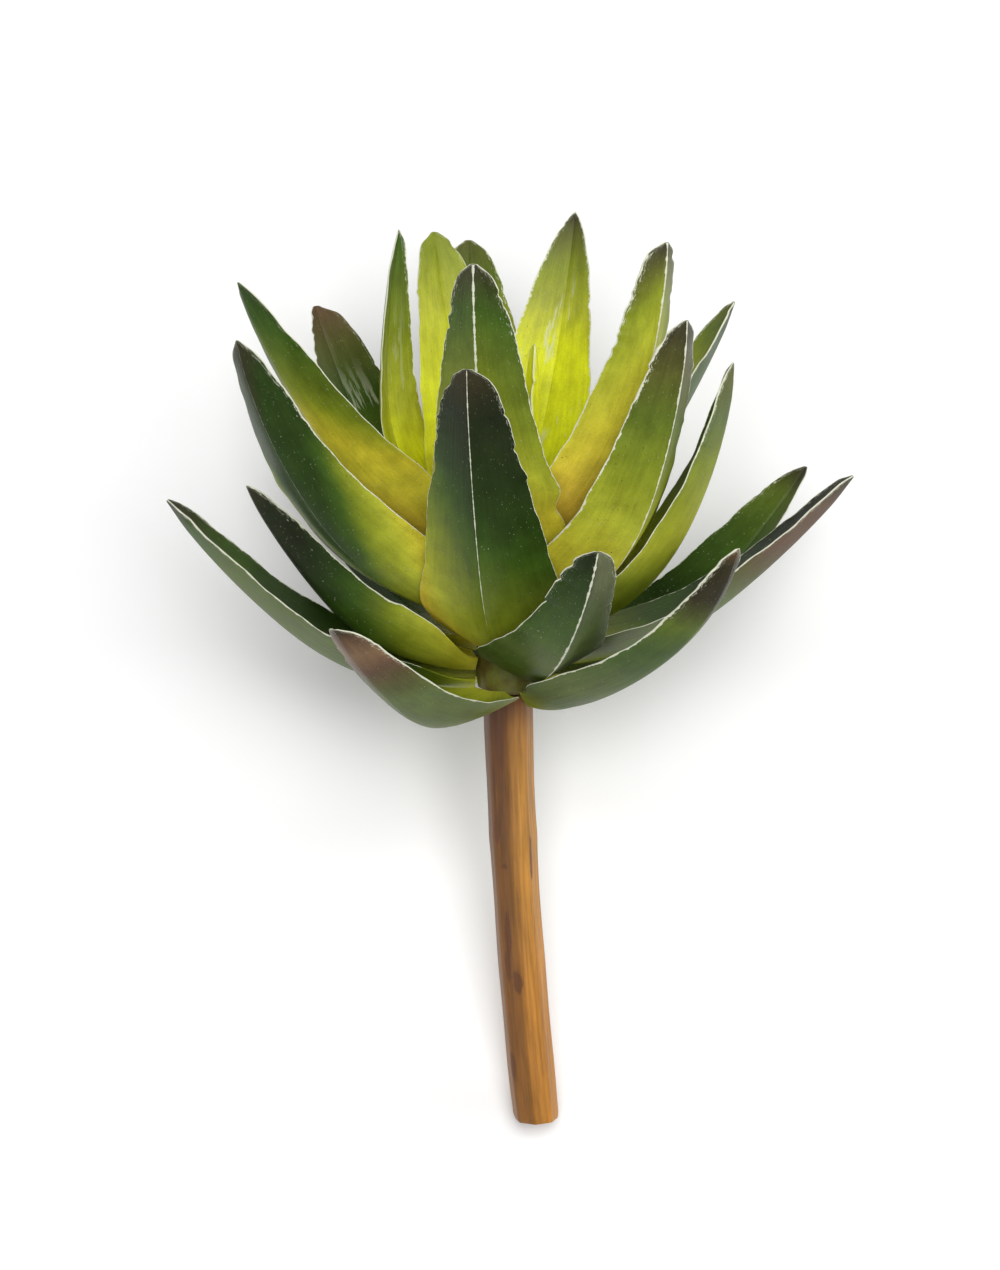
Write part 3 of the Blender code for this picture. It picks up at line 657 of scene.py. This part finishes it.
def finish_stem():
    verts, t, angle = make_stem()
    rows, n = len(t), len(angle)
    flat = np.vstack(verts)
    ends = np.array([verts[0].mean(axis=0), verts[-1].mean(axis=0)])
    mesh = build_mesh("stem_stalk", np.vstack([flat, ends]), tube(rows, n), sharp=50)
    s = np.append(np.repeat(t, n), [0, 1])
    a = np.append(np.tile(angle, rows), [0, 0])
    # paint: painted shade on one side and under the leaves, amber further down
    shaded_side = 0.5 + 0.5 * np.cos(a - SHADED_SIDE)
    tan, amber, brown = linear(TAN), linear(AMBER), linear(SHADE_BROWN)
    side = np.searchsorted(np.radians(FACETS), (a - twist(s)) % (2 * pi)) % len(FACETS)
    low = step(0.3, 0.8, s)[:, None]
    colour = tan * (1 - low) + amber * low
    colour = colour + (0.9 * step(0.45, 0.88, shaded_side) * (1 - 0.5 * s))[:, None] * (brown - colour)
    shade = (0.6 * np.exp(-(s / 0.07) ** 2) + 0.25 * np.exp(-(s / 0.3) ** 2))[:, None]
    colour = colour * (1 - shade) + brown * shade
    colour[-1] = colour[-1] * 0.6
    colour = colour * np.array(FACET_TONE)[side][:, None]
    stain = np.zeros(len(s))
    for place, where, length, width in STAINS:
        bend = (a - radians(where) + pi) % (2 * pi) - pi
        stain = np.maximum(stain, np.exp(-((s - place) / length) ** 2 - (bend / radians(width)) ** 2))
    put(mesh, "FLOAT_COLOR", "paint", colour)
    put(mesh, "FLOAT", "stain", stain)
    put(mesh, "FLOAT_VECTOR", "grain",
        np.stack([s * STEM_LENGTH, STEM_RADIUS * np.cos(a), STEM_RADIUS * np.sin(a)], axis=1))
    show(mesh, "stem_stalk", "stem", stem_material())


LEAF_SKIN = leaf_material()
for leaf_name in LEAVES:
    make_leaf(leaf_name)
finish_stem()
core_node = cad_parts["leaf_core"]
CORE_SKIN = core_material()
for slot in core_node.material_slots:
    slot.material = CORE_SKIN

# ---- floor, light and camera --------------------------------------------------------------
FLOOR = 3                                       # metres from the middle to a side
WORLD_LIGHT = 0.32
CAMERA_RISE, CAMERA_DISTANCE = radians(12), 750     # above the drawing's level; mm
SCALE, IMAGE_HEIGHT, SENSOR = 5.3, 1270, 36     # pixels for a mm at LOOK_AT, pixels, mm

floor_mesh = bpy.data.meshes.new("floor")
floor_mesh.from_pydata([(x * FLOOR, y * FLOOR, 0) for x, y in ((-1, -1), (1, -1), (1, 1), (-1, 1))],
                       [], [(0, 1, 2, 3)])
floor = bpy.data.objects.new("floor", floor_mesh)
bpy.context.scene.collection.objects.link(floor)
floor_mesh.materials.append(floor_material())

world = bpy.data.worlds.new("studio")
bpy.context.scene.world = world
world.use_nodes = True
world.node_tree.nodes["Background"].inputs[0].default_value = (1, 1, 1, 1)
world.node_tree.nodes["Background"].inputs[1].default_value = WORLD_LIGHT

LOOK_AT = Vector((-1.5, 0, 8.7)) * MM           # in the upright drawing, as is all of this part


def aimed(direction, distance):
    """Matrix of something that stands off LOOK_AT along a direction of the drawing and faces it."""
    back = Vector(direction).normalized()
    right = Vector((0, 0, 1)).cross(back).normalized()
    up = back.cross(right)
    turn = Matrix((right, up, back)).transposed().to_4x4()
    return LIE @ Matrix.Translation(LOOK_AT + back * distance) @ turn


def soft_light(name, direction, distance, size, power):
    data = bpy.data.lights.new(name, "AREA")
    data.shape, data.size, data.size_y, data.energy = "RECTANGLE", size[0], size[1], power
    ob = bpy.data.objects.new(name, data)
    ob.matrix_world = aimed(direction, distance)
    bpy.context.scene.collection.objects.link(ob)


soft_light("key_softbox", (0.1, -1.0, 0.42), 0.9, (0.6, 0.6), 7.0)
soft_light("left_softbox", (-1.0, -0.35, 0.15), 0.9, (0.3, 0.9), 1.8)
soft_light("right_softbox", (1.0, -0.25, 0.3), 0.9, (0.3, 0.9), 3.0)

camera_data = bpy.data.cameras.new("camera")
camera_data.sensor_fit = "VERTICAL"
camera_data.sensor_height = SENSOR
camera_data.lens = SENSOR * CAMERA_DISTANCE * SCALE / IMAGE_HEIGHT
camera = bpy.data.objects.new("camera", camera_data)
camera.matrix_world = aimed((0, -cos(CAMERA_RISE), sin(CAMERA_RISE)), CAMERA_DISTANCE * MM)
bpy.context.scene.collection.objects.link(camera)
bpy.context.scene.camera = camera
bpy.context.scene.view_settings.view_transform = "Standard"
